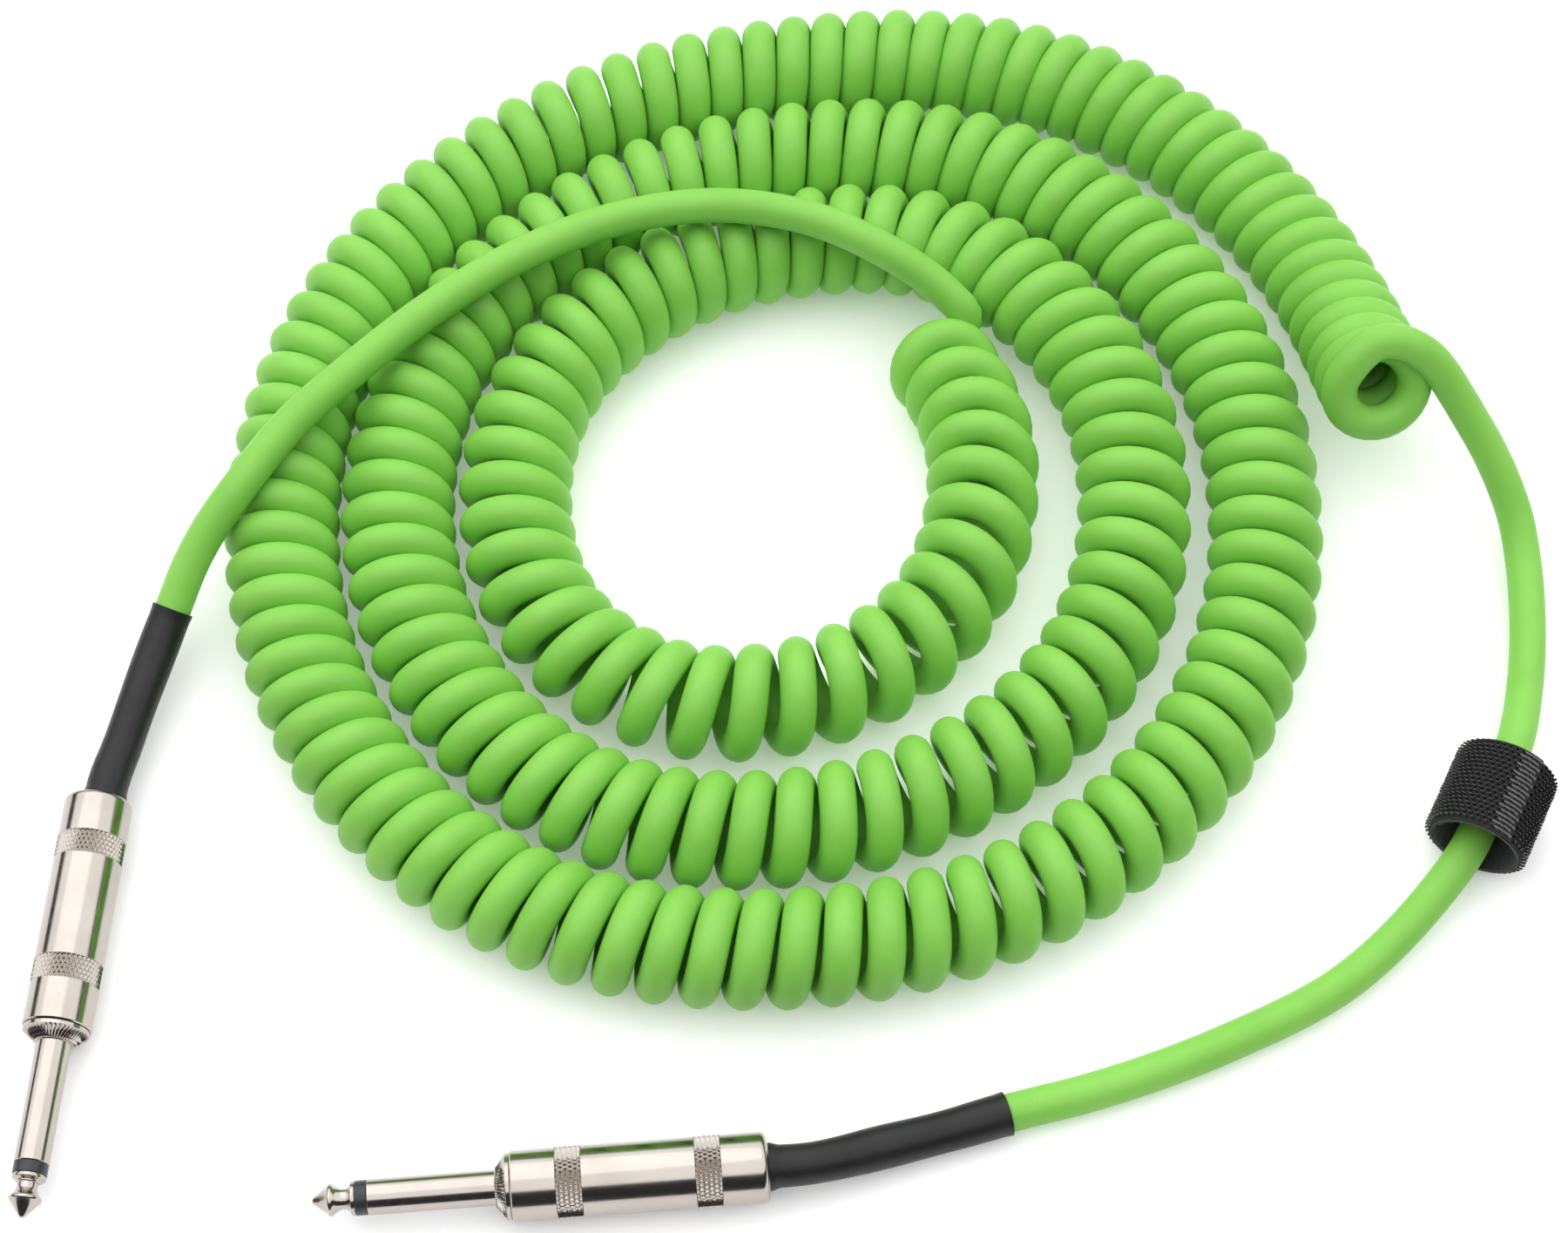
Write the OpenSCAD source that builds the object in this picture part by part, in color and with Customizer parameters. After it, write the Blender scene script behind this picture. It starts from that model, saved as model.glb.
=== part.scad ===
// Curly instrument cable with two 6.35 mm mono phone plugs and a hook-and-loop cable tie.
// It lies on a flat surface, z = 0, as a three-loop spiral with both plug ends led to the front.

/* [Cable] */
// Outer diameter of the cable jacket
cable_d = 7; // [5:0.5:8]
// Outer diameter of the curly stretch
coil_od = 22.36; // [20:0.02:22.36]
// Facets of the fat tube that stands for the curly stretch
coil_sides = 12; // [8:4:12]
// Facets of the two plain tails
tail_sides = 10; // [8:2:12]

/* [Plug] */
// Diameter of the plug's sleeve contact
sleeve_d = 6.35; // [6.3:0.01:6.4]
// Diameter of the screw-on barrel
barrel_d = 12.7; // [12:0.1:13]
// Length of the tip contact, up to its insulating ring
tip_len = 7.7; // [7:0.1:8]
// Width of the black insulating ring
ring_len = 2.2; // [1:0.1:2.5]
// Distance from the tip's end to the serrated collar
collar_x = 32.6; // [31:0.1:33]
// Length of the serrated collar
collar_len = 2.7; // [2:0.1:3]
// Distance from the tip's end to the rear end of the barrel
plug_len = 81; // [80:0.5:84]
// Radial clearance of the threads and of the liner
thread_gap = 0.05; // [0.02:0.01:0.1]

/* [Boot] */
// Outer diameter of the shrunk sleeve over the cable
boot_d = 7.7; // [7.5:0.1:8]
// Diameter of the shoulder that fills the barrel's mouth
boot_shoulder_d = 8.6; // [8:0.1:8.8]

/* [Cable tie] */
// Outer diameter of the rolled tie over its hooks
tie_d = 20.4; // [18:0.1:21]
// Width of the tie's tape
tie_w = 18; // [16:1:20]
// Thickness of the hook tape
hook_t = 1.4; // [1:0.1:1.6]
// Thickness of the loop tape
loop_t = 1.2; // [0.8:0.1:1.4]

/* [Hidden] */

$fn = 64;

// Plug A points to the front on the left, plug B points left along the front.
plug_at = [[-139.9, -129.4], [-88.9, -126.4]];
plug_turn = [86, 4.5];

// Inside the plug, distances from the tip's end.
ring_x = tip_len + ring_len;
collar_end_x = collar_x + collar_len;
bush_end_x = collar_end_x + 6;
barrel_x = collar_end_x + 0.05;
washer_x = bush_end_x;
clamp_x = washer_x + 1.2;
lug_x = clamp_x + 0.8;
rod_end_x = lug_x + 1.6;
liner_x = clamp_x + 1.4;
liner_end_x = 71.5;
arm_end_x = 64;
cradle_end_x = 69;
jacket_end_x = 62.5;
boot_in_x = cradle_end_x + 0.5;
mouth_x = plug_len - 2.4;
shoulder_x = plug_len - 1.2;
wire_x = lug_x + 3;
insulation_x = wire_x + 4;
shield_x = 50;

rod_d = 2.2;
disc_d = sleeve_d - 0.45;
ring_d = sleeve_d - 0.35;
bush_d = 10.4;
collar_d = 12;
throat_d = 4.4;
bore_d = bush_d + 2 * thread_gap;
mouth_d = 10.4;
liner_wall = 0.5;
plate_d = 9;
cradle_d = 8.8;
wire_z = 2.6;
skin = 0.02;

// Spiral of the curly stretch, from its outer end inwards: radius of its axis every 30 degrees.
coil_at = [-5.4, 12.1];
coil_step = 30;
coil_from = 48;
coil_to = 1132;
coil_rings = 44;
coil_r = [
    115, 121, 118, 106.5, 101.5, 99.5, 98, 98, 96.5, 92.5, 93, 94,
    94, 94.5, 92, 84, 79, 77.5, 75.5, 74.5, 73, 68.5, 66.5, 67.5,
    68.5, 70.5, 69.5, 62, 57.5, 55, 52.5, 51, 47, 41.5, 38.5, 37.5,
    38.5, 43, 48
];
// The outer end lifts off the floor: angle along the spiral, then height above the rest.
coil_lift = [[7.9, 17.3], [12, 11.6], [16.3, 7], [20.8, 3.7], [27.1, 1.2], [34, 0.2]];
coil_z = coil_od / 2 * cos(180 / coil_sides);
// Offset of the tails from the coil's axis where they leave it, and how far round they leave.
tail_offset = 7.2;
tail_a_round = 20;
tail_b_round = 90;

// Tail A runs from the inner end over the back of the loops, then down to plug A.
tail_a_route = [
    [30.8, 54.5, 16], [22.5, 60.1, 21.5], [15.5, 63.3, 24.5], [2.4, 69.3, 26.4], [-17.6, 73.4, 26.4],
    [-40.3, 69.6, 26.4], [-57.4, 61.6, 26.4], [-74, 49.5, 26.4], [-88.6, 35.7, 26.2], [-101.2, 22, 25.8],
    [-110.7, 8.5, 23.6], [-115, 3.6, 20.3], [-119.2, -2.1, 15.9], [-123.1, -10.1, 10.8], [-128.9, -28.5, 7]
];
// Tail B runs from the outer end round the right, through the tie, to plug B.
tail_b_route = [
    [116.2, 34.7, 34], [119.7, 33.8, 31.4], [122.3, 32.4, 28.6], [125.1, 30.1, 25.2], [128.7, 26.5, 21],
    [132.7, 21.8, 16.4], [135.9, 16.7, 12.2], [138.1, 11.8, 8.8], [139.4, 4.1, 5.8], [139.3, -8, 4.4],
    [136.6, -25.9, 4.6], [133.5, -36.2, 6.6], [127.8, -47.5, 6.9], [122.1, -58.8, 6.9],
    [114.8, -68, 5.4], [98.6, -83.3, 3.7], [75.3, -95.8, 3.7], [49.6, -105.3, 3.7], [35.4, -109.1, 3.9],
    [24, -112.6, 4.2], [13.3, -115.6, 4.8]
];
// Behind plug A the cable leaves the barrel's mouth to the right: distance behind the mouth, then beside the axis.
tail_a_bend = [[11, 2.3], [5, 1.2], [0, 0.85]];
// The boots cover the last points of the tails' routes.
boot_points = [3, 3];

// The tie stands round the cable at this point of tail B, turned along the cable.
tie_at = [126.8, -51.5, tie_d / 2];
tie_turn = 63.5;

// One value of a smooth curve through the list v at position t.
function smooth(v, t) =
    let (
        i = min(max(floor(t), 0), len(v) - 2),
        f = t - i,
        a = v[max(i - 1, 0)],
        b = v[i],
        c = v[i + 1],
        d = v[min(i + 2, len(v) - 1)]
    )
    0.5 * (2 * b + (c - a) * f + (2 * a - 5 * b + 4 * c - d) * f * f + (3 * b - a - 3 * c + d) * f * f * f);

// Point of the coil's axis at a given angle along the spiral.
function coil_point(a) =
    let (r = smooth(coil_r, a / coil_step))
    [coil_at[0] + r * cos(a), coil_at[1] + r * sin(a), coil_z];

function unit(v) = v / norm(v);

// All points of the coil's axis.
coil_path = concat(
    [for (lift = coil_lift) coil_point(lift[0]) + [0, 0, lift[1]]],
    [for (i = [0:coil_rings - 1]) coil_point(coil_from + (coil_to - coil_from) * i / (coil_rings - 1))]
);
coil_last = len(coil_path) - 1;
coil_start_way = unit(coil_path[1] - coil_path[0]);
coil_end_way = unit(coil_path[coil_last] - coil_path[coil_last - 1]);

// Point on an end face of the coil, given the face's centre, the coil's heading and the angle round it.
function face_point(at, way, round) =
    let (
        side = unit(cross(way, [0, 0, 1])),
        up = cross(side, way)
    )
    at + tail_offset * (cos(round) * side + sin(round) * up);

// Point at distance x from the end of plug p's tip and a distance beside the plug's axis, to its right.
function plug_point(p, x, beside = 0) =
    [
        plug_at[p][0] + x * cos(plug_turn[p]) + beside * sin(plug_turn[p]),
        plug_at[p][1] + x * sin(plug_turn[p]) - beside * cos(plug_turn[p]),
        barrel_d / 2
    ];

// Where each tail meets the coil's end face.
tail_a_root = face_point(coil_path[coil_last], coil_end_way, tail_a_round);
tail_b_root = face_point(coil_path[0], coil_start_way, tail_b_round);

// Whole path of each tail, from the coil to the end of its jacket inside the plug.
tail_a_path = concat(
    [tail_a_root, tail_a_root + 3 * coil_end_way], tail_a_route,
    [for (bend = tail_a_bend) plug_point(0, plug_len + bend[0], bend[1])], [plug_point(0, jacket_end_x)]
);
tail_b_path = concat(
    [tail_b_root + 2 * coil_start_way], tail_b_route,
    [plug_point(1, plug_len + 6), plug_point(1, plug_len), plug_point(1, jacket_end_x)]
);

// Direction of a path at its point i; the ends are square to their own first and last steps.
function heading(path, i) = unit(path[min(i + 1, len(path) - 1)] - path[max(i - 1, 0)]);

// Ring of n corners round point i of a path, with a flat side at the bottom.
function ring(path, i, r, n) =
    let (
        way = heading(path, i),
        side = unit(cross(way, [0, 0, 1])),
        up = cross(side, way)
    )
    [
        for (k = [0:n - 1])
            let (a = 360 * (k + 0.5) / n - 90)
            path[i] + r * (cos(a) * side + sin(a) * up)
    ];

// Solid tube swept along a path.
module tube(path, r, n) {
    count = len(path);
    points = [for (i = [0:count - 1]) each ring(path, i, r, n)];
    walls = [
        for (i = [0:count - 2], k = [0:n - 1])
            [i * n + k, i * n + (k + 1) % n, (i + 1) * n + (k + 1) % n, (i + 1) * n + k]
    ];
    first = [for (k = [n - 1:-1:0]) k];
    last = [for (k = [0:n - 1]) (count - 1) * n + k];
    polyhedron(points, concat(walls, [first, last]), convexity = 10);
}

// Hollow tube swept along a path, with a flat ring at each end.
module sleeve_tube(path, r, bore_r, n) {
    count = len(path);
    total = count * n;
    outside = [for (i = [0:count - 1]) each ring(path, i, r, n)];
    inside = [for (i = [0:count - 1]) each ring(path, i, bore_r, n)];
    outer_walls = [
        for (i = [0:count - 2], k = [0:n - 1])
            [i * n + k, i * n + (k + 1) % n, (i + 1) * n + (k + 1) % n, (i + 1) * n + k]
    ];
    inner_walls = [for (f = outer_walls) [for (k = [3:-1:0]) f[k] + total]];
    end = (count - 1) * n;
    first = [for (k = [0:n - 1]) [k, k + total, (k + 1) % n + total, (k + 1) % n]];
    last = [for (k = [0:n - 1]) [end + k, end + (k + 1) % n, end + (k + 1) % n + total, end + k + total]];
    polyhedron(concat(outside, inside), concat(outer_walls, inner_walls, first, last), convexity = 10);
}

// Put a piece drawn along +X at the place of plug p.
module place(p) {
    translate([plug_at[p][0], plug_at[p][1], barrel_d / 2]) rotate([0, 0, plug_turn[p]]) children();
}

// Turn a profile, given as [distance from the tip, radius], round the plug's axis.
module turned(profile) {
    rotate([0, 90, 0]) rotate_extrude() polygon([for (point = profile) [point[1], point[0]]]);
}

// Round bar along the plug's axis, or a tube if it has a bore.
module bar(x0, x1, d, bore = 0) {
    translate([x0, 0, 0]) rotate([0, 90, 0]) difference() {
        cylinder(h = x1 - x0, d = d);
        if (bore > 0) translate([0, 0, -1]) cylinder(h = x1 - x0 + 2, d = bore);
    }
}

// Tip contact and its rod, one riveted piece.
module tip(p) {
    color("silver") place(p) turned([
        [0, 0], [0, 0.5], [3.3, 2.9], [3.7, 2.95], [5.6, 1.9], [6.4, 1.9], [6.4, 2.15], [6.8, 2.15],
        [6.8, 2.75], [7.0, disc_d / 2], [tip_len, disc_d / 2], [tip_len, rod_d / 2], [rod_end_x, rod_d / 2],
        [rod_end_x, 0]
    ]);
}

// Black ring between the tip and the sleeve.
module tip_ring(p) {
    color("#26292c") place(p) bar(tip_len, ring_x, ring_d, rod_d);
}

// Sleeve contact and serrated collar, turned from one bar.
module sleeve(p) {
    color("silver") place(p) difference() {
        turned([
            [ring_x, 0], [ring_x, sleeve_d / 2], [collar_x, sleeve_d / 2], [collar_x, 3.7],
            [collar_x + 1.8, collar_d / 2], [collar_end_x, collar_d / 2], [collar_end_x, 0]
        ]);
        bar(ring_x - 1, collar_end_x + 1, throat_d);
    }
}

// Threaded bushing behind the collar, which the barrel screws onto.
module bushing(p) {
    color("silver") place(p) bar(collar_end_x, bush_end_x, bush_d, throat_d);
}

// Insulating tube between the rod and the sleeve.
module rod_insulator(p) {
    color("ivory") place(p) bar(ring_x, bush_end_x, throat_d, rod_d);
}

// Fibre washer behind the bushing, which keeps the rod off the ground plate.
module lug_washer(p) {
    color("saddlebrown") place(p) bar(washer_x, clamp_x, plate_d, rod_d);
}

// Solder lug on the rod's end.
module tip_lug(p) {
    color("silver") place(p) {
        bar(lug_x, lug_x + 0.6, 4.2, rod_d);
        translate([lug_x, -1, 1.3]) cube([7, 2, 0.6]);
    }
}

// Ground plate with its long arm and the cradle that grips the jacket.
module ground_clamp(p) {
    color("silver") place(p) {
        bar(clamp_x, clamp_x + 0.5, plate_d, 5);
        translate([clamp_x, -1.6, -4.1]) cube([arm_end_x - clamp_x + 0.5, 3.2, 0.5]);
        difference() {
            bar(arm_end_x, cradle_end_x, cradle_d, cable_d + skin);
            translate([arm_end_x - 1, -6, 1.2]) cube([7, 12, 6]);
        }
    }
}

// Liner inside the barrel, which moves back with it.
module liner(p) {
    color("#e8e8e0") place(p) bar(liner_x, liner_end_x, bore_d - 2 * thread_gap, bush_d - 2 * liner_wall);
}

// Screw-on barrel with its rounded rear end.
module barrel(p) {
    r = barrel_d / 2;
    color("silver") place(p) difference() {
        turned([
            [barrel_x, 0], [barrel_x, r - 0.25], [barrel_x + 0.25, r], [plug_len - 2, r],
            [plug_len - 1.2, r - 0.25], [plug_len - 0.4, r - 0.7], [plug_len, r - 1.05], [plug_len, 0]
        ]);
        bar(barrel_x - 1, mouth_x, bore_d);
        bar(mouth_x - 1, plug_len + 1, mouth_d);
    }
}

// Bare strands of the inner conductor, soldered to the tip's lug.
module core_wire(p) {
    color("#b87333") place(p) translate([0, 0, wire_z]) bar(wire_x, insulation_x, 1);
}

// Insulation of the inner conductor.
module core_insulation(p) {
    color("white") place(p) translate([0, 0, wire_z]) bar(insulation_x, jacket_end_x, 1.8);
}

// Twisted shield, soldered to the ground arm.
module shield(p) {
    color("#b87333") place(p) translate([0, 0, -2.8]) bar(shield_x, jacket_end_x, 1.4);
}

// Shrunk sleeve over the cable, from the cradle out along the tail, with a shoulder in the barrel's mouth.
module boot(path, p) {
    count = len(path);
    outer_part = [for (i = [count - 3 - boot_points[p]:count - 2]) path[i]];
    color("#2b2b2b") {
        sleeve_tube(concat(outer_part, [plug_point(p, boot_in_x)]), boot_d / 2, cable_d / 2 + skin, tail_sides);
        place(p) bar(shoulder_x, plug_len + 0.3, boot_shoulder_d, boot_d + skin);
    }
}

// Curly stretch of the cable, as one tube of its outer diameter.
module coil() {
    color("#72c93f") tube(coil_path, coil_od / 2, coil_sides);
}

// Plain end of the cable.
module tail(path) {
    color("#72c93f") tube(path, cable_d / 2, tail_sides);
}

// One rolled layer of the tie, between two radii.
module tie_layer(r_out, r_in) {
    translate(tie_at) rotate([0, 0, tie_turn]) translate([-tie_w / 2, 0, 0])
        bar(0, tie_w, 2 * r_out, 2 * r_in);
}

module tie_hook_tape() color("#1c1c1c") tie_layer(tie_d / 2, tie_d / 2 - hook_t);
module tie_loop_tape() color("#101010") tie_layer(tie_d / 2 - hook_t, tie_d / 2 - hook_t - loop_t);

coil();
tail(tail_a_path);  // tail_a
tail(tail_b_path);  // tail_b
tie_hook_tape();
tie_loop_tape();
tip(0);  // tip_a
tip_ring(0);  // tip_ring_a
sleeve(0);  // sleeve_a
bushing(0);  // bushing_a
rod_insulator(0);  // rod_insulator_a
lug_washer(0);  // lug_washer_a
tip_lug(0);  // tip_lug_a
ground_clamp(0);  // ground_clamp_a
liner(0);  // liner_a
barrel(0);  // barrel_a
core_wire(0);  // core_wire_a
core_insulation(0);  // core_insulation_a
shield(0);  // shield_a
boot(tail_a_path, 0);  // boot_a
tip(1);  // tip_b
tip_ring(1);  // tip_ring_b
sleeve(1);  // sleeve_b
bushing(1);  // bushing_b
rod_insulator(1);  // rod_insulator_b
lug_washer(1);  // lug_washer_b
tip_lug(1);  // tip_lug_b
ground_clamp(1);  // ground_clamp_b
liner(1);  // liner_b
barrel(1);  // barrel_b
core_wire(1);  // core_wire_b
core_insulation(1);  // core_insulation_b
shield(1);  // shield_b
boot(tail_b_path, 1);  // boot_b
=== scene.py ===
"""Curly instrument cable with two phone plugs and a hook-and-loop tie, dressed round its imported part."""

import math
import random

import bmesh
import bpy
import numpy as np
from mathutils import Matrix, Vector


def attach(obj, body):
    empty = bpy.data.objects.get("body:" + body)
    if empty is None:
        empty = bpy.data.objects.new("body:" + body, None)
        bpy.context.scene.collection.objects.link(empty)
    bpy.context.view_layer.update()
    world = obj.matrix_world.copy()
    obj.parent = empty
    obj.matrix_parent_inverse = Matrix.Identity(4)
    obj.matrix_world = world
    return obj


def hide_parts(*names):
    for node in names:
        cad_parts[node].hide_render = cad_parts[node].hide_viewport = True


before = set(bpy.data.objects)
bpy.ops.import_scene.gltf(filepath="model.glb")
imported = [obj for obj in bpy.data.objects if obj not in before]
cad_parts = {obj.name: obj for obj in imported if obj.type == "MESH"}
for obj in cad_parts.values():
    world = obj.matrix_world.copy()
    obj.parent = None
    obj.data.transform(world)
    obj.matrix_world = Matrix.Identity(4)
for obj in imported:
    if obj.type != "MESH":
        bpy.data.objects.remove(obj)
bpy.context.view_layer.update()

MM = 0.001
BLACK = (0.0, 0.0, 0.0, 1.0)

# ---------------------------------------------------------------- camera


def set_camera():
    """Camera above the front edge, looking down at the middle of the cable."""
    eye = Vector((-5.4, -301.7, 556.3)) * MM
    target = Vector((-5.4, -5.9, 0)) * MM
    data = bpy.data.cameras.new("camera")
    data.lens = 73.74
    data.sensor_width = 36
    data.clip_start = 0.02
    data.clip_end = 10
    camera = bpy.data.objects.new("camera", data)
    camera.location = eye
    camera.rotation_euler = (target - eye).to_track_quat("-Z", "Y").to_euler()
    bpy.context.scene.collection.objects.link(camera)
    bpy.context.scene.camera = camera


set_camera()

# ---------------------------------------------------------------- the cable's route, in millimetres

CABLE_D = 7.0
TURN_R = 7.7
COIL_Z = 11.2
COIL_CENTRE = (-5.4, 12.1)
COIL_STEP = 30
COIL_FROM = 7.9
COIL_TO = 1132
# Radius of the spiral that the curly stretch is laid in, every 30 degrees from its outer end.
COIL_RADII = [
    115, 121, 118, 106.5, 101.5, 99.5, 98, 98, 96.5, 92.5, 93, 94,
    94, 94.5, 92, 84, 79, 77.5, 75.5, 74.5, 73, 68.5, 66.5, 67.5,
    68.5, 70.5, 69.5, 62, 57.5, 55, 52.5, 51, 47, 41.5, 38.5, 37.5,
    38.5, 43, 48,
]
# Distance from one turn to the next at the same places: 7 is tight, and the rest is slightly stretched.
TURN_GAPS = [
    6.7, 6.7, 6.9, 7.2, 7.7, 7.3, 7.1, 7.0, 7.5, 7.8, 8.4, 8.1,
    7.8, 7.4, 7.4, 7.6, 7.9, 7.7, 7.1, 7.3, 7.7, 8.1, 8.6, 8.5,
    8.2, 7.5, 7.5, 7.5, 7.7, 7.8, 7.6, 8.0, 8.5, 8.9, 9.0, 8.9,
    8.4, 7.4, 7.2,
]
TURNS = 196.75
POINTS_PER_TURN = 32
# Step of the angle round the spiral, in degrees, in which its length is measured.
MEASURING_STEP = 0.05
# Distance from point to point along the plain tails.
TAIL_STEP = 2.0
# The outer end of the coil lifts off the floor: slope of its axis in degrees, turn by turn from the end.
OUTER_LIFT = [38, 32, 27, 22, 17, 12, 8, 5, 3, 1, 0]
# The turns at its inner end lean back: degrees, turn by turn from the end.
INNER_LEAN = [34, 32, 29, 25, 20, 15, 10, 6, 3, 1, 0]
# Points of the first turn that tail B's route stands for.
TAIL_B_TAKES = 5
# Place of the cable round the coil at the start of its first turn.
FIRST_TURN_AT = 90

PLUG_AT = {"a": (-139.9, -129.4), "b": (-88.9, -126.4)}
PLUG_TURN = {"a": 86, "b": 4.5}
BARREL_D = 12.7
PLUG_LEN = 81
JACKET_END = 62.5
# Behind plug A the cable leaves to the right: distance behind the barrel's mouth, then beside its axis.
TAIL_A_BEND = [(0, 0.85), (5, 1.2), (11, 2.3)]

TAIL_A_ROUTE = [
    (30.8, 54.5, 16), (27.6, 57, 18.5), (22.5, 60.1, 21.5), (15.5, 63.3, 24.5), (2.4, 69.3, 26.4),
    (-17.6, 73.4, 26.4), (-40.3, 69.6, 26.4), (-57.4, 61.6, 26.4), (-74, 49.5, 26.4),
    (-88.6, 35.7, 26.2), (-101.2, 22, 25.8), (-110.7, 8.5, 23.6), (-115, 3.6, 20.3),
    (-119.2, -2.1, 15.9), (-123.1, -10.1, 10.8), (-128.9, -28.5, 7),
]
TAIL_B_ROUTE = [
    (109.8, 35.3, 35.3), (113, 35.4, 35), (116.2, 34.7, 34), (119.7, 33.8, 31.4),
    (122.3, 32.4, 28.6), (125.1, 30.1, 25.2), (128.7, 26.5, 21), (132.7, 21.8, 16.4),
    (135.9, 16.7, 12.2), (138.1, 11.8, 8.8), (139.4, 4.1, 5.8), (139.3, -8, 4.4),
    (136.6, -25.9, 4.6), (133.5, -36.2, 6.6), (127.8, -47.5, 6.9), (122.1, -58.8, 6.9),
    (114.8, -68, 5.4), (98.6, -83.3, 3.7), (75.3, -95.8, 3.7), (49.6, -105.3, 3.7),
    (35.4, -109.1, 3.9), (24, -112.6, 4.2), (13.3, -115.6, 4.8),
]


def plug_point(plug, x, beside=0.0):
    """Point at distance x from a tip's end and a distance beside the plug's axis, to its right."""
    turn = math.radians(PLUG_TURN[plug])
    across = PLUG_AT[plug][0] + x * math.cos(turn) + beside * math.sin(turn)
    along = PLUG_AT[plug][1] + x * math.sin(turn) - beside * math.cos(turn)
    return np.array([across, along, BARREL_D / 2])


def smooth(values, places):
    """Values of a smooth curve through a list, at places counted along it."""
    values = np.asarray(values, float)
    index = np.clip(np.floor(places).astype(int), 0, len(values) - 2)
    f = places - index
    a = values[np.maximum(index - 1, 0)]
    b = values[index]
    c = values[index + 1]
    d = values[np.minimum(index + 2, len(values) - 1)]
    bend = (2 * a - 5 * b + 4 * c - d) * f**2 + (3 * b - a - 3 * c + d) * f**3
    return 0.5 * (2 * b + (c - a) * f + bend)


def flow(points, step):
    """Points every step along one smooth curve through unevenly spaced points."""
    points = np.asarray(points, float)
    run = np.concatenate([[0], np.cumsum(np.linalg.norm(np.diff(points, axis=0), axis=1))])
    slopes = np.gradient(points, run, axis=0)
    at = np.linspace(0, run[-1], max(2, int(run[-1] / step) + 1))
    index = np.clip(np.searchsorted(run, at, side="right") - 1, 0, len(points) - 2)
    width = (run[index + 1] - run[index])[:, None]
    f = (at - run[index])[:, None] / width
    return (
        (2 * f**3 - 3 * f**2 + 1) * points[index]
        + (f**3 - 2 * f**2 + f) * width * slopes[index]
        + (3 * f**2 - 2 * f**3) * points[index + 1]
        + (f**3 - f**2) * width * slopes[index + 1]
    )


def end_angles(angles, turn):
    """Angle in radians at some turns, from a list in degrees that starts at one end of the coil."""
    return np.radians(smooth(angles, np.clip(turn, 0, len(angles) - 1)))


def curly_line():
    """Centre of the cable through all its turns, from the outer end of the coil to the inner one."""
    angles = np.arange(COIL_FROM, COIL_TO, MEASURING_STEP)
    places = angles / COIL_STEP
    radii = smooth(COIL_RADII, places)
    x = COIL_CENTRE[0] + radii * np.cos(np.radians(angles))
    y = COIL_CENTRE[1] + radii * np.sin(np.radians(angles))
    gaps = smooth(TURN_GAPS, places)
    steps = np.hypot(np.diff(x), np.diff(y))
    done = np.concatenate([[0], np.cumsum(steps / gaps[:-1])])
    for _ in range(3):
        flat = gaps[:-1] * np.cos(end_angles(OUTER_LIFT, done[:-1] * TURNS / done[-1]))
        done = np.concatenate([[0], np.cumsum(steps / flat)])
    done *= TURNS / done[-1]
    turn = np.arange(0, TURNS, 1 / POINTS_PER_TURN)
    x = np.interp(turn, done, x)
    y = np.interp(turn, done, y)
    ahead = np.stack([np.gradient(x), np.gradient(y), np.zeros_like(x)], 1)
    ahead /= np.linalg.norm(ahead, axis=1)[:, None]
    outward = np.stack([ahead[:, 1], -ahead[:, 0], np.zeros_like(x)], 1)
    up = np.array([0, 0, 1.0])
    phase = np.radians(FIRST_TURN_AT + 360 * turn)[:, None]
    slope = end_angles(OUTER_LIFT, turn)
    lean = end_angles(INNER_LEAN, TURNS - turn)
    fall = CABLE_D * np.sin(slope) / POINTS_PER_TURN
    z = COIL_Z + np.cumsum(fall[::-1])[::-1] - TURN_R * (1 - np.cos(lean))
    tilt = (slope + lean)[:, None]
    raised = np.cos(tilt) * up + np.sin(tilt) * ahead
    axis = np.stack([x, y, z], 1)
    return axis + TURN_R * (np.cos(phase) * outward + np.sin(phase) * raised)


def cable_line():
    """Centre of the whole cable from plug A to plug B, along the curly stretch from the inside out."""
    curls = curly_line()[TAIL_B_TAKES:][::-1]
    joint = 4
    bend_a = [plug_point("a", PLUG_LEN + behind, beside) for behind, beside in TAIL_A_BEND]
    tail_a = [plug_point("a", JACKET_END)] + bend_a + TAIL_A_ROUTE[::-1]
    tail_b = TAIL_B_ROUTE + [plug_point("b", x) for x in (PLUG_LEN + 6, PLUG_LEN, JACKET_END)]
    start = flow(np.vstack([tail_a, curls[:joint]]), TAIL_STEP)
    end = flow(np.vstack([curls[-joint:], tail_b]), TAIL_STEP)
    return np.vstack([start, curls[joint:-joint], end])


# ---------------------------------------------------------------- materials


def new_material(name, **values):
    """Material with the given settings on its main shader; returns it with its nodes' makers."""
    made = bpy.data.materials.new(name)
    made.use_nodes = True
    shader = made.node_tree.nodes["Principled BSDF"]
    for key, value in values.items():
        shader.inputs[key.replace("_", " ")].default_value = value
    return made, made.node_tree, shader


def noise(tree, scale, detail=3.0, roughness=0.55, stretch=None, coords="Object"):
    """Noise on the piece's own coordinates, scale per metre, stretched along an axis if asked."""
    where = tree.nodes.new("ShaderNodeTexCoord")
    out = where.outputs[coords]
    if stretch:
        mapping = tree.nodes.new("ShaderNodeMapping")
        mapping.inputs["Scale"].default_value = stretch
        tree.links.new(out, mapping.inputs["Vector"])
        out = mapping.outputs["Vector"]
    texture = tree.nodes.new("ShaderNodeTexNoise")
    texture.inputs["Scale"].default_value = scale
    texture.inputs["Detail"].default_value = detail
    texture.inputs["Roughness"].default_value = roughness
    tree.links.new(out, texture.inputs["Vector"])
    return texture.outputs["Fac"]


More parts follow.
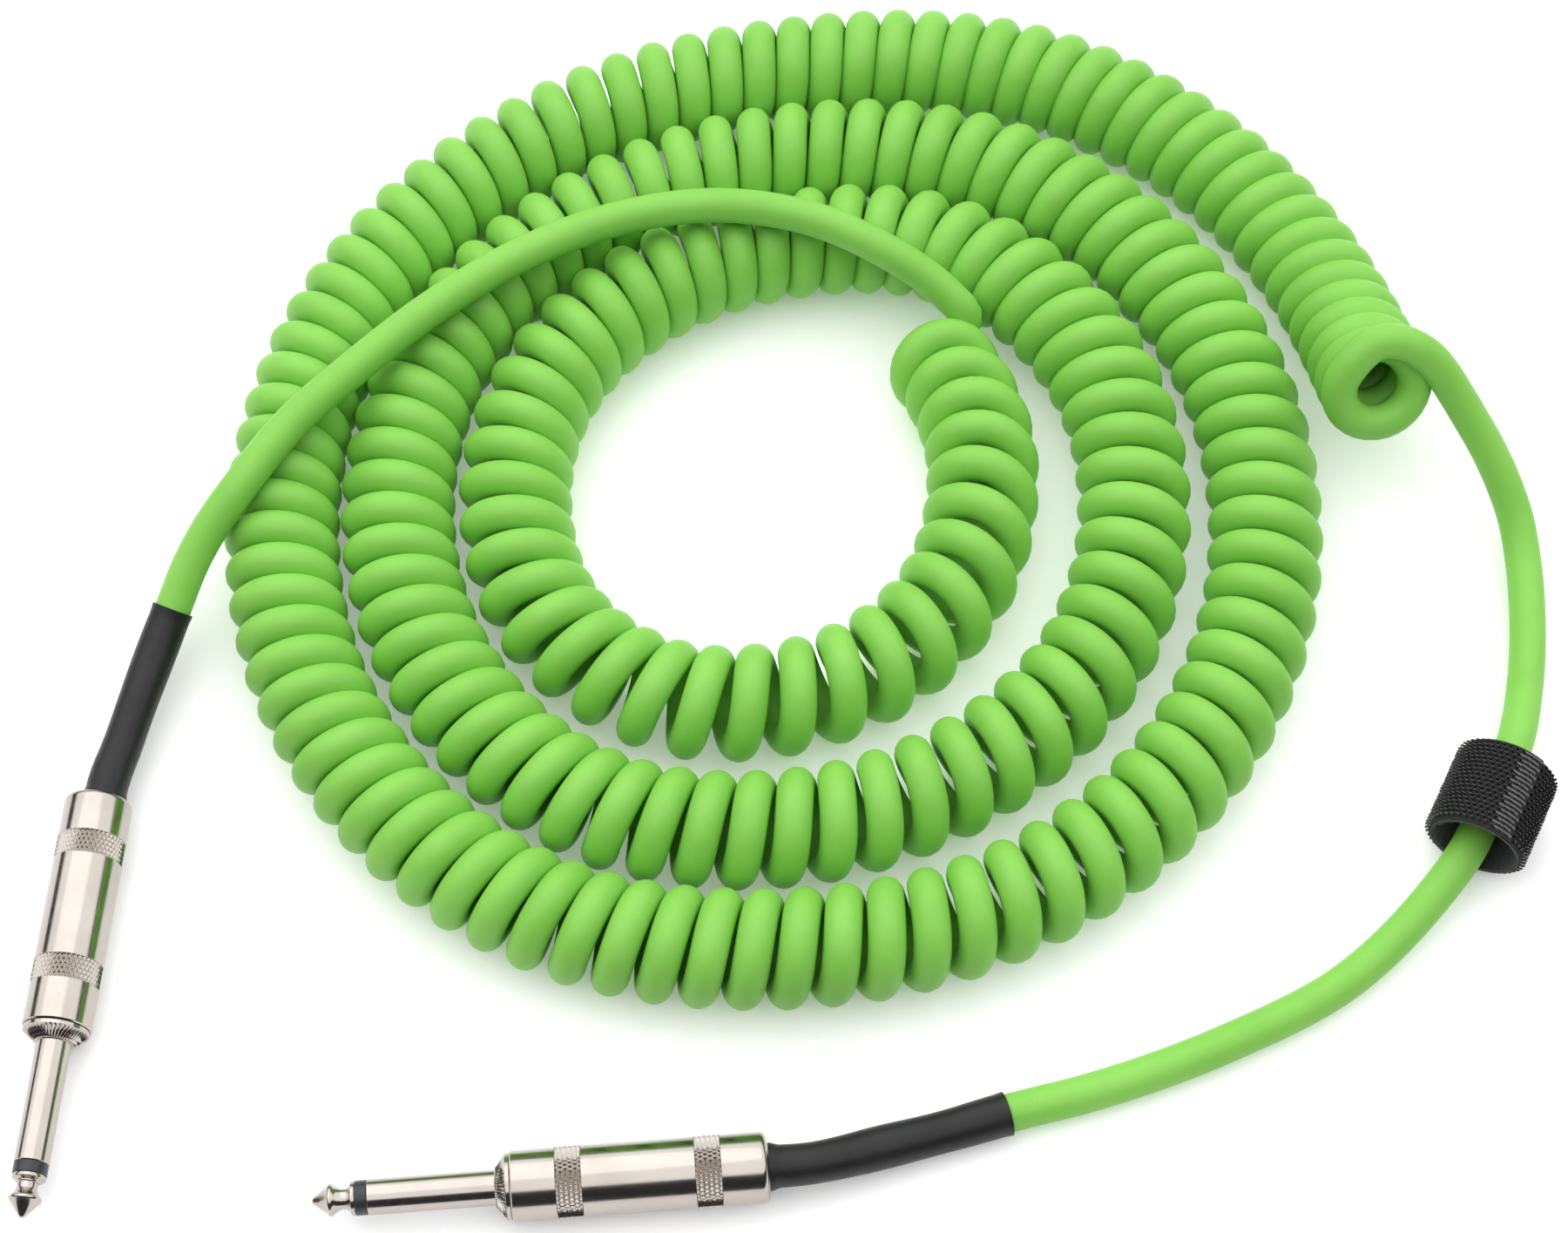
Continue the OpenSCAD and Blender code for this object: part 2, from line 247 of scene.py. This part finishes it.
def ramp(tree, factor, stops):
    """Colour ramp over a factor; stops are (place, colour)."""
    node = tree.nodes.new("ShaderNodeValToRGB")
    elements = node.color_ramp.elements
    elements[0].position, elements[0].color = stops[0]
    elements[1].position, elements[1].color = stops[-1]
    for place, colour in stops[1:-1]:
        elements.new(place).color = colour
    tree.links.new(factor, node.inputs["Fac"])
    return node.outputs["Color"]


def bump(tree, shader, height, strength, distance):
    """Bump on the shader from a height, distance in metres."""
    node = tree.nodes.new("ShaderNodeBump")
    node.inputs["Strength"].default_value = strength
    node.inputs["Distance"].default_value = distance
    tree.links.new(height, node.inputs["Height"])
    tree.links.new(node.outputs["Normal"], shader.inputs["Normal"])


def grey(value, alpha=1.0):
    return (value, value, value, alpha)


def jacket_material():
    """Matt green jacket with soft mottling and a few faint scuffs."""
    made, tree, shader = new_material("jacket_green", Roughness=0.5, Specular_IOR_Level=0.35)
    mottle = noise(tree, 60, 4)
    colour = ramp(tree, mottle, [(0.3, (0.205, 0.53, 0.070, 1)), (0.7, (0.245, 0.595, 0.092, 1))])
    scuffs = ramp(tree, noise(tree, 420, 5, 0.6, (1, 0.5, 0.8)), [(0.70, BLACK), (0.78, grey(0.35))])
    blend = tree.nodes.new("ShaderNodeMixRGB")
    blend.inputs["Color2"].default_value = (0.14, 0.36, 0.05, 1)
    tree.links.new(scuffs, blend.inputs["Fac"])
    tree.links.new(colour, blend.inputs["Color1"])
    tree.links.new(blend.outputs["Color"], shader.inputs["Base Color"])
    rough = ramp(tree, noise(tree, 900, 3), [(0.3, grey(0.42)), (0.7, grey(0.56))])
    tree.links.new(rough, shader.inputs["Roughness"])
    bump(tree, shader, noise(tree, 2500, 3), 0.12, 0.00005)
    return made


def nickel_material():
    """Bright nickel plating with fine turning marks and a few cloudy patches."""
    made, tree, shader = new_material("nickel", Metallic=1.0, Roughness=0.2)
    cloud = noise(tree, 90, 4)
    colour = ramp(tree, cloud, [(0.35, (0.43, 0.39, 0.355, 1)), (0.65, (0.48, 0.44, 0.40, 1))])
    tree.links.new(colour, shader.inputs["Base Color"])
    rough = ramp(tree, noise(tree, 700, 5), [(0.3, grey(0.13)), (0.7, grey(0.20))])
    tree.links.new(rough, shader.inputs["Roughness"])
    bump(tree, shader, noise(tree, 1600, 4), 0.05, 0.00001)
    return made


def tinned_material():
    """Dull tinned steel of the lugs and clamps."""
    made, tree, shader = new_material("tinned_steel", Metallic=1.0, Roughness=0.38)
    colour = ramp(tree, noise(tree, 500, 4), [(0.3, (0.56, 0.55, 0.52, 1)), (0.7, (0.72, 0.71, 0.68, 1))])
    tree.links.new(colour, shader.inputs["Base Color"])
    bump(tree, shader, noise(tree, 2200, 4), 0.2, 0.00004)
    return made


def moulded_material(name, dark, light, roughness, grain=2500):
    """Moulded plastic or fibre with slight mottling and a fine grain."""
    made, tree, shader = new_material(name, Roughness=roughness)
    colour = ramp(tree, noise(tree, 300, 3), [(0.3, (*dark, 1)), (0.7, (*light, 1))])
    tree.links.new(colour, shader.inputs["Base Color"])
    bump(tree, shader, noise(tree, grain, 3), 0.2, 0.00004)
    return made


def copper_material():
    """Bare copper strands, drawn as fine ribs along the wire."""
    made, tree, shader = new_material("copper_strands", Metallic=1.0, Roughness=0.35)
    colour = ramp(tree, noise(tree, 900, 3), [(0.3, (0.60, 0.27, 0.14, 1)), (0.7, (0.80, 0.42, 0.25, 1))])
    tree.links.new(colour, shader.inputs["Base Color"])
    bump(tree, shader, noise(tree, 4000, 2, 0.5, (0.15, 1, 1)), 0.5, 0.0001)
    return made


def boot_material():
    """Charcoal shrink sleeve: satin, with soft ripples and tiny pits."""
    made, tree, shader = new_material("boot_charcoal", Roughness=0.42, Specular_IOR_Level=0.32)
    charcoal = [(0.3, (0.009, 0.009, 0.010, 1)), (0.7, (0.016, 0.015, 0.017, 1))]
    colour = ramp(tree, noise(tree, 120, 4), charcoal)
    tree.links.new(colour, shader.inputs["Base Color"])
    rough = ramp(tree, noise(tree, 500, 4), [(0.3, grey(0.36)), (0.7, grey(0.50))])
    tree.links.new(rough, shader.inputs["Roughness"])
    bump(tree, shader, noise(tree, 1500, 4), 0.25, 0.00006)
    return made


def hook_material(name, dark, light):
    """Nylon hooks."""
    made, tree, shader = new_material(name, Roughness=0.42)
    colour = ramp(tree, noise(tree, 1500, 2), [(0.3, grey(dark)), (0.7, grey(light))])
    tree.links.new(colour, shader.inputs["Base Color"])
    bump(tree, shader, noise(tree, 5000, 2), 0.3, 0.00005)
    return made


def nap_material():
    """Black brushed loop fabric."""
    made, tree, shader = new_material("loop_nap", Roughness=0.95, Sheen_Weight=0.25, Sheen_Roughness=0.5)
    colour = ramp(tree, noise(tree, 2500, 4), [(0.3, grey(0.004)), (0.75, grey(0.022))])
    tree.links.new(colour, shader.inputs["Base Color"])
    bump(tree, shader, noise(tree, 5200, 4), 0.9, 0.0003)
    return made


JACKET = jacket_material()
NICKEL = nickel_material()
TINNED = tinned_material()
RING_BLACK = moulded_material("ring_black", (0.016, 0.017, 0.019), (0.026, 0.027, 0.030), 0.35)
IVORY = moulded_material("ivory_plastic", (0.62, 0.58, 0.46), (0.72, 0.68, 0.56), 0.45)
FIBRE = moulded_material("brown_fibre", (0.16, 0.07, 0.03), (0.24, 0.11, 0.05), 0.7, 1800)
LINER_WHITE = moulded_material("liner_plastic", (0.60, 0.60, 0.56), (0.70, 0.70, 0.66), 0.5)
CORE_WHITE = moulded_material("core_plastic", (0.72, 0.72, 0.70), (0.80, 0.80, 0.78), 0.4)
COPPER = copper_material()
BOOT = boot_material()
HOOKS = hook_material("hook_nylon", 0.010, 0.020)
CRUSHED_HOOKS = hook_material("hook_crushed", 0.075, 0.13)
TAPE = moulded_material("tape_weave", (0.006, 0.006, 0.007), (0.012, 0.012, 0.013), 0.8, 3500)
EDGE = moulded_material("tape_edge", (0.055, 0.055, 0.06), (0.10, 0.10, 0.105), 0.7, 3500)
NAP = nap_material()

# ---------------------------------------------------------------- the cable


def make_cable(line):
    """The whole cable as one round tube."""
    data = bpy.data.curves.new("cable", "CURVE")
    data.dimensions = "3D"
    data.bevel_depth = CABLE_D / 2 * MM
    data.bevel_resolution = 9
    data.use_fill_caps = True
    spline = data.splines.new("POLY")
    spline.points.add(len(line) - 1)
    spline.points.foreach_set("co", np.column_stack([line * MM, np.ones(len(line))]).ravel())
    spline.use_smooth = True
    piece = bpy.data.objects.new("cable", data)
    bpy.context.scene.collection.objects.link(piece)
    data.materials.append(JACKET)
    return piece


line = cable_line()
cable = make_cable(line)
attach(cable, "cable")
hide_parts("coil", "tail_a", "tail_b")

# ---------------------------------------------------------------- piece makers


def finish_piece(bm, name, body, materials, replaces=(), place=None, crease=32):
    """Turns a bmesh into a piece that rides on a body and stands for some nodes of the part."""
    if place is not None:
        bm.transform(place)
    data = bpy.data.meshes.new(name)
    bm.to_mesh(data)
    bm.free()
    data.shade_smooth()
    data.set_sharp_from_angle(angle=math.radians(crease))
    for material in materials:
        data.materials.append(material)
    piece = bpy.data.objects.new(name, data)
    bpy.context.scene.collection.objects.link(piece)
    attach(piece, body)
    if replaces:
        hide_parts(*replaces)
    return piece


def turned(profile, steps):
    """Outline of (distance along the plug, radius) points turned round the plug's axis."""
    bm = bmesh.new()
    rim = [bm.verts.new((x, 0, r)) for x, r in profile]
    for a, b in zip(rim, rim[1:]):
        bm.edges.new((a, b))
    bmesh.ops.spin(
        bm, geom=bm.verts[:] + bm.edges[:], cent=(0, 0, 0), axis=(1, 0, 0), angle=2 * math.pi, steps=steps,
        use_merge=True,
    )
    bmesh.ops.remove_doubles(bm, verts=bm.verts, dist=0.001)
    bmesh.ops.recalc_face_normals(bm, faces=bm.faces)
    return bm


def plug_place(plug):
    """Matrix that takes a piece drawn in millimetres along +X to its plug's place."""
    at = Vector(plug_point(plug, 0)) * MM
    turn = Matrix.Rotation(math.radians(PLUG_TURN[plug]), 4, "Z")
    return Matrix.Translation(at) @ turn @ Matrix.Scale(MM, 4)


def arc(x, r, radius, start, stop, count):
    """Points of an arc about (x, r), angles in degrees from +X towards larger radii."""
    return [
        (x + radius * math.cos(math.radians(a)), r + radius * math.sin(math.radians(a)))
        for a in np.linspace(start, stop, count)
    ]


# ---------------------------------------------------------------- the plugs

TIP_LEN = 7.7
RING_END = 9.9
SLEEVE_R = 3.175
COLLAR_FROM = 32.6
COLLAR_TO = 35.3
COLLAR_R = 6.0
TEETH = 46
TOOTH_DEPTH = 0.6
# Share of a tooth's width that its long flank takes.
LONG_FLANK = 0.7
BARREL_FROM = 35.35
BARREL_R = BARREL_D / 2
BORE_R = 5.25
MOUTH_R = 5.15
MOUTH_FROM = 78.6
ROD_R = 1.1
ROD_END = 44.9
BANDS = [(43.4, 47.8), (68.1, 72.5)]
DIAMONDS_ROUND = 44
DIAMONDS_ALONG = 5
STEPS_PER_DIAMOND = 8
KNURL_DEPTH = 0.42
# Half the width of a groove, as a share of a diamond.
GROOVE_HALF = 0.42
REAR_ROUNDING = 1.15


def make_tip(plug):
    """Pointed tip contact with its waist, and the rod behind it."""
    profile = [(0, 0), (0.04, 0.3), (0.16, 0.52), (0.4, 0.72), (0.7, 0.93), (2.85, 2.62)]
    profile += arc(3.36, 2.4, 0.55, 140, 58, 8)
    profile += [(4.1, 2.46), (4.6, 2.12)]
    profile += arc(5.45, 2.85, 1.0, 238, 270, 6)
    profile += [(6.3, 1.86), (6.36, 2.08), (6.44, 2.14), (6.62, 2.14), (6.7, 2.2), (6.86, 2.72)]
    profile += arc(7.15, 2.8, 0.22, 150, 90, 4)
    profile += [(7.6, 3.02), (TIP_LEN, 2.94), (TIP_LEN, ROD_R), (ROD_END, ROD_R), (ROD_END, 0)]
    finish_piece(
        turned(profile, 96), f"tip_contact_{plug}", "cable", [NICKEL], [f"tip_{plug}"],
        plug_place(plug), 40,
    )


def make_ring(plug):
    """Black insulating ring with softened edges."""
    profile = [(TIP_LEN, ROD_R), (TIP_LEN, 2.98), (TIP_LEN + 0.12, 3.1), (RING_END - 0.12, 3.1)]
    profile += [(RING_END, 2.98), (RING_END, ROD_R), (TIP_LEN, ROD_R)]
    finish_piece(
        turned(profile, 72), f"insulating_ring_{plug}", "cable", [RING_BLACK],
        [f"tip_ring_{plug}"], plug_place(plug),
    )


def make_sleeve(plug):
    """Sleeve contact with its collar of slanting teeth."""
    slope = [(COLLAR_FROM + 0.15 + 1.65 * t, 3.75 + 2.15 * t) for t in np.linspace(0, 1, 7)]
    profile = [(RING_END, 2.2), (RING_END, SLEEVE_R - 0.1), (RING_END + 0.1, SLEEVE_R)]
    profile += [(COLLAR_FROM - 0.1, SLEEVE_R), (COLLAR_FROM, SLEEVE_R + 0.1), (COLLAR_FROM, 3.6)]
    profile += slope
    profile += [(34.5, COLLAR_R), (COLLAR_TO - 0.12, COLLAR_R), (COLLAR_TO, COLLAR_R - 0.12)]
    profile += [(COLLAR_TO, 2.2), (RING_END, 2.2)]
    bm = turned(profile, TEETH * 6)
    for vert in bm.verts:
        x, y, z = vert.co
        radius = math.hypot(y, z)
        if slope[0][0] - 0.01 < x < slope[-1][0] + 0.01 and radius > 3.7:
            along = (x - slope[0][0]) / (slope[-1][0] - slope[0][0])
            turn = (math.atan2(y, z) / math.tau * TEETH + 0.5 * along) % 1
            flank = 1 - turn / LONG_FLANK if turn < LONG_FLANK else (turn - LONG_FLANK) / (1 - LONG_FLANK)
            depth = TOOTH_DEPTH * flank
            cut = depth * math.sin(math.pi * (0.1 + 0.85 * along)) ** 0.5 / radius
            vert.co.y *= 1 - cut
            vert.co.z *= 1 - cut
    finish_piece(
        bm, f"sleeve_contact_{plug}", "cable", [NICKEL], [f"sleeve_{plug}"], plug_place(plug), 28
    )


def knurl_depth(angle, x, start):
    """How deep the crossing V grooves of a knurled band are cut, from 0 to 1."""
    round_it = angle / math.tau * DIAMONDS_ROUND
    along = (x - start) / ((BANDS[0][1] - BANDS[0][0]) / DIAMONDS_ALONG)
    near = min(abs(t - round(t)) for t in (round_it + along / 2, round_it - along / 2))
    return max(0.0, 1 - near / GROOVE_HALF)


def make_barrel(plug):
    """Screw-on barrel with two knurled bands and a rounded rear end."""
    profile = [(BARREL_FROM, BORE_R), (BARREL_FROM, BARREL_R - 0.2), (BARREL_FROM + 0.2, BARREL_R)]
    for start, stop in BANDS:
        profile += [(start - 0.14, BARREL_R), (start - 0.06, BARREL_R - 0.12)]
        profile += [(x, BARREL_R) for x in np.linspace(start, stop, DIAMONDS_ALONG * STEPS_PER_DIAMOND + 1)]
        profile += [(stop + 0.06, BARREL_R - 0.12), (stop + 0.14, BARREL_R)]
    profile += arc(PLUG_LEN - 1.3, BARREL_R - REAR_ROUNDING, REAR_ROUNDING, 90, 14, 12)
    profile += [(PLUG_LEN, MOUTH_R + 0.05), (PLUG_LEN - 0.1, MOUTH_R), (MOUTH_FROM, MOUTH_R)]
    profile += [(MOUTH_FROM, BORE_R), (BARREL_FROM, BORE_R)]
    bm = turned(profile, DIAMONDS_ROUND * STEPS_PER_DIAMOND)
    for vert in bm.verts:
        x, y, z = vert.co
        radius = math.hypot(y, z)
        for start, stop in BANDS:
            if start - 0.01 < x < stop + 0.01 and radius > BORE_R + 0.5:
                cut = KNURL_DEPTH * knurl_depth(math.atan2(y, z), x, start) / radius
                vert.co.y *= 1 - cut
                vert.co.z *= 1 - cut
    finish_piece(
        bm, f"knurled_barrel_{plug}", f"barrel_{plug}", [NICKEL], [f"barrel_{plug}"],
        plug_place(plug), 24,
    )


for plug in "ab":
    make_tip(plug)
    make_ring(plug)
    make_sleeve(plug)
    make_barrel(plug)

# ---------------------------------------------------------------- the boots

BOOT_R = 3.85
BOOT_BORE_R = CABLE_D / 2 + 0.01
BOOT_LENGTH = {"a": 52.5, "b": 56.8}
BOOT_HIDDEN = 11.5
BOOT_SIDES = 40
BOOT_STEP = 0.8
# Points at a cable's end that the boot's line is taken from.
BOOT_REACH = 90
# Height and half length of the shoulder in the barrel's mouth, and of the rolled outer end.
SHOULDER = (0.55, 1.6)
ROLLED_END = (0.16, 1.8)


def boot_line(plug):
    """The cable's own line under a boot, and each point's distance out of the barrel's mouth."""
    way = line if plug == "a" else line[::-1]
    way = way[:BOOT_REACH]
    run = np.concatenate([[0], np.cumsum(np.linalg.norm(np.diff(way, axis=0), axis=1))])
    mouth = PLUG_LEN - JACKET_END
    start = PLUG_LEN - BOOT_HIDDEN - JACKET_END
    at = np.arange(start, start + BOOT_LENGTH[plug], BOOT_STEP)
    return np.stack([np.interp(at, run, way[:, k]) for k in range(3)], 1), at - mouth


def ring_at(bm, points, index, radius):
    """Edges of a circle square to a line at one of its points."""
    ahead = Vector(points[min(index + 1, len(points) - 1)] - points[max(index - 1, 0)])
    turn = ahead.to_track_quat("Z", "Y").to_matrix().to_4x4()
    made = bmesh.ops.create_circle(
        bm, radius=radius, segments=BOOT_SIDES, matrix=Matrix.Translation(Vector(points[index])) @ turn
    )
    return list({edge for vert in made["verts"] for edge in vert.link_edges})


def make_boot(plug):
    """Shrunk sleeve over the cable, with a shoulder in the barrel's mouth and a rolled outer end."""
    points, out = boot_line(plug)
    last = out[-1]
    wobble = random.Random(7 if plug == "a" else 11)
    waves = [
        (wobble.uniform(0.12, 0.4), wobble.uniform(0, 6), wobble.uniform(0.02, 0.045))
        for _ in range(4)
    ]
    rings = []
    bm = bmesh.new()
    for i, x in enumerate(out):
        radius = BOOT_R + sum(size * math.sin(rate * x + start) for rate, start, size in waves)
        radius += SHOULDER[0] * max(0.0, 1 - abs(x - 0.2) / SHOULDER[1])
        radius += ROLLED_END[0] * max(0.0, 1 - (last - x) / ROLLED_END[1])
        if x < -1.2:
            radius = BOOT_R
        rings.append(ring_at(bm, points, i, radius))
    for i in reversed(range(len(out))):
        rings.append(ring_at(bm, points, i, BOOT_BORE_R))
    for a, b in zip(rings, rings[1:] + rings[:1]):
        bmesh.ops.bridge_loops(bm, edges=a + b)
    bmesh.ops.recalc_face_normals(bm, faces=bm.faces)
    finish_piece(
        bm, f"shrink_boot_{plug}", "cable", [BOOT], [f"boot_{plug}"], Matrix.Scale(MM, 4), 40
    )


for plug in "ab":
    make_boot(plug)

# ---------------------------------------------------------------- the cable tie

TIE_AT = (126.8, -51.5, 10.2)
TIE_TURN = 63.5
TIE_W = 18.0
TIE_END = 35
TAPE_THICK = 0.7
# Radius of each turn at its two ends, and how far round it goes in degrees.
OUTER_TURN_R = (8.75, 9.25)
OUTER_SWEEP = 372
INNER_TURN_R = (7.68, 8.05)
INNER_START = TIE_END - 80
INNER_SWEEP = 390
EDGE_SWEEP = 385
EDGE_RISE = 0.62
EDGE_HALF_W = 0.16
EDGE_THICK = 0.18
HOOK_ROWS = 19
HOOKS_ROUND = 46
# Degrees back from the free end between which the hooks are crushed.
CRUSHED_SPAN = (3, 24)


def tie_place():
    """Matrix that takes a piece drawn in millimetres along +X to the tie's place."""
    return (
        Matrix.Translation(Vector(TIE_AT) * MM)
        @ Matrix.Rotation(math.radians(TIE_TURN), 4, "Z")
        @ Matrix.Scale(MM, 4)
    )


def rolled_tape(radii, start, sweep, steps, rows=12):
    """Flat strip rolled round the tie's axis, its outer face running from one radius to the other."""
    bm = bmesh.new()
    bmesh.ops.create_grid(bm, x_segments=rows, y_segments=steps, size=0.5)
    for vert in bm.verts:
        along = vert.co.y + 0.5
        angle = math.radians(start - sweep * along)
        radius = radii[1] + (radii[0] - radii[1]) * along
        vert.co = (vert.co.x * TIE_W, -radius * math.sin(angle), radius * math.cos(angle))
    bmesh.ops.recalc_face_normals(bm, faces=bm.faces)
    return bm


def outermost(face):
    """How far a face of a hook looks and lies towards the hook's end."""
    middle = face.calc_center_median()
    return face.normal.z * 0.5 + middle.z + middle.y


def hook_shape():
    """One nylon hook: a short stem that bends over along the tape's turn."""
    bm = bmesh.new()
    stem = Matrix.Translation((0, 0, 0.2)) @ Matrix.Diagonal((0.34, 0.42, 0.5, 1))
    bmesh.ops.create_cube(bm, size=1.0, matrix=stem)
    steps = [((0, 0.10, 0.26), 22, 0.88), ((0, 0.24, 0.14), 40, 0.85), ((0, 0.26, -0.04), 30, 0.8)]
    for shift, tilt, shrink in steps:
        top = max(bm.faces, key=outermost)
        grown = bmesh.ops.extrude_face_region(bm, geom=[top])
        verts = [item for item in grown["geom"] if isinstance(item, bmesh.types.BMVert)]
        bmesh.ops.delete(bm, geom=[top], context="FACES_ONLY")
        bmesh.ops.translate(bm, vec=shift, verts=verts)
        centre = sum((vert.co for vert in verts), Vector()) / len(verts)
        bmesh.ops.rotate(bm, cent=centre, matrix=Matrix.Rotation(math.radians(-tilt), 3, "X"), verts=verts)
        bmesh.ops.scale(bm, vec=(shrink,) * 3, space=Matrix.Translation(-centre), verts=verts)
        bm.normal_update()
    bmesh.ops.recalc_face_normals(bm, faces=bm.faces)
    data = bpy.data.meshes.new("hook_shape")
    bm.to_mesh(data)
    bm.free()
    return data


def make_hook_tape():
    """Outer turn of the tie: woven base with rows of hooks, crushed flat near its free end."""
    chance = random.Random(5)
    bm = rolled_tape(OUTER_TURN_R, TIE_END, OUTER_SWEEP, 120)
    bmesh.ops.solidify(bm, geom=bm.faces[:], thickness=TAPE_THICK)
    bmesh.ops.recalc_face_normals(bm, faces=bm.faces)
    shape = hook_shape()
    for row in range(HOOK_ROWS):
        for place in range(HOOKS_ROUND):
            shifted = place + 0.5 * (row % 2)
            back = 4 + shifted * (OUTER_SWEEP - 16) / HOOKS_ROUND
            angle = TIE_END - back
            radius = OUTER_TURN_R[1] + (OUTER_TURN_R[0] - OUTER_TURN_R[1]) * back / OUTER_SWEEP
            crushed = CRUSHED_SPAN[0] < back < CRUSHED_SPAN[1]
            size = (1.5, 2.3, 0.42) if crushed else (1.0, 1.0, 0.92 + 0.12 * chance.random())
            across = ((row + 0.5) / HOOK_ROWS - 0.5) * (TIE_W - 0.4)
            first = len(bm.verts)
            first_face = len(bm.faces)
            bm.from_mesh(shape)
            bm.verts.ensure_lookup_table()
            bm.faces.ensure_lookup_table()
            lean = math.radians(chance.uniform(-7, 7))
            matrix = (
                Matrix.Rotation(math.radians(angle), 4, "X")
                @ Matrix.Translation((across, 0, radius - 0.05))
                @ Matrix.Rotation(lean, 4, "X")
                @ Matrix.Diagonal((*size, 1))
            )
            bmesh.ops.transform(bm, matrix=matrix, verts=bm.verts[first:])
            for face in bm.faces[first_face:]:
                face.material_index = 2 if crushed else 1
    finish_piece(
        bm, "tie_hook_turn", "tie", [TAPE, HOOKS, CRUSHED_HOOKS], ["tie_hook_tape"],
        tie_place(), 50,
    )


def make_loop_tape():
    """Inner turn of the tie: napped fabric with a paler woven edge at both sides."""
    bm = rolled_tape(INNER_TURN_R, INNER_START, INNER_SWEEP, 150, 16)
    fuzz = random.Random(9)
    for vert in bm.verts:
        push = 1 + fuzz.uniform(-0.012, 0.012)
        vert.co.y *= push
        vert.co.z *= push
    bmesh.ops.solidify(bm, geom=bm.faces[:], thickness=-TAPE_THICK)
    bmesh.ops.recalc_face_normals(bm, faces=bm.faces)
    finish_piece(bm, "tie_loop_turn", "tie", [NAP], ["tie_loop_tape"], tie_place(), 60)
    for side, x in (("near", -TIE_W / 2), ("far", TIE_W / 2)):
        radii = (INNER_TURN_R[0] + EDGE_RISE, INNER_TURN_R[1] + EDGE_RISE)
        bm = rolled_tape(radii, INNER_START, EDGE_SWEEP, 150, 1)
        for vert in bm.verts:
            vert.co.x = x + (EDGE_HALF_W if vert.co.x > 0 else -EDGE_HALF_W)
        bmesh.ops.solidify(bm, geom=bm.faces[:], thickness=EDGE_THICK)
        bmesh.ops.recalc_face_normals(bm, faces=bm.faces)
        finish_piece(bm, f"tie_edge_{side}", "tie", [EDGE], (), tie_place(), 60)


make_hook_tape()
make_loop_tape()

# ---------------------------------------------------------------- pieces of the part that show as they are

for plug in "ab":
    for node, material in (
        ("bushing", NICKEL),
        ("rod_insulator", IVORY),
        ("lug_washer", FIBRE),
        ("tip_lug", TINNED),
        ("ground_clamp", TINNED),
        ("liner", LINER_WHITE),
        ("core_wire", COPPER),
        ("core_insulation", CORE_WHITE),
        ("shield", COPPER),
    ):
        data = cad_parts[f"{node}_{plug}"].data
        data.materials.clear()
        data.materials.append(material)

# ---------------------------------------------------------------- floor and light


def set_stage():
    """Pale floor and a soft studio: a lamp overhead and a bright room that is dark low down in front."""
    bpy.ops.mesh.primitive_plane_add(size=6, location=(0, 0, 0))
    floor = bpy.context.object
    floor.name = "floor"
    made, _, _ = new_material(
        "floor_paper", Base_Color=(0.93, 0.93, 0.93, 1), Roughness=0.9, Emission_Color=grey(1.0),
        Emission_Strength=0.2,
    )
    floor.data.materials.append(made)
    world = bpy.data.worlds.new("room")
    bpy.context.scene.world = world
    world.use_nodes = True
    tree = world.node_tree
    height = tree.nodes.new("ShaderNodeSeparateXYZ")
    tree.links.new(tree.nodes.new("ShaderNodeTexCoord").outputs["Generated"], height.inputs["Vector"])
    front = tree.nodes.new("ShaderNodeMath")
    front.operation = "MINIMUM"
    front.inputs[1].default_value = 0.0
    tree.links.new(height.outputs["Y"], front.inputs[0])
    level = tree.nodes.new("ShaderNodeMath")
    level.operation = "MULTIPLY_ADD"
    level.inputs[1].default_value = 0.8
    tree.links.new(front.outputs["Value"], level.inputs[0])
    tree.links.new(height.outputs["Z"], level.inputs[2])
    bright = grey(1.0)
    dark_rim = [(0.0, grey(0.03)), (0.26, grey(0.05)), (0.36, bright), (1.0, bright)]
    sky = ramp(tree, level.outputs["Value"], dark_rim)
    tree.links.new(sky, tree.nodes["Background"].inputs["Color"])
    tree.nodes["Background"].inputs["Strength"].default_value = 1.65
    lamp_data = bpy.data.lights.new("overhead", "AREA")
    lamp_data.shape = "RECTANGLE"
    lamp_data.size = 1.0
    lamp_data.size_y = 0.8
    lamp_data.energy = 1.5
    lamp = bpy.data.objects.new("overhead", lamp_data)
    lamp.location = (-0.25, 0.25, 0.8)
    lamp.rotation_euler = (Vector((0, 0, 0)) - lamp.location).to_track_quat("-Z", "Y").to_euler()
    bpy.context.scene.collection.objects.link(lamp)
    bpy.context.scene.view_settings.view_transform = "Standard"


set_stage()
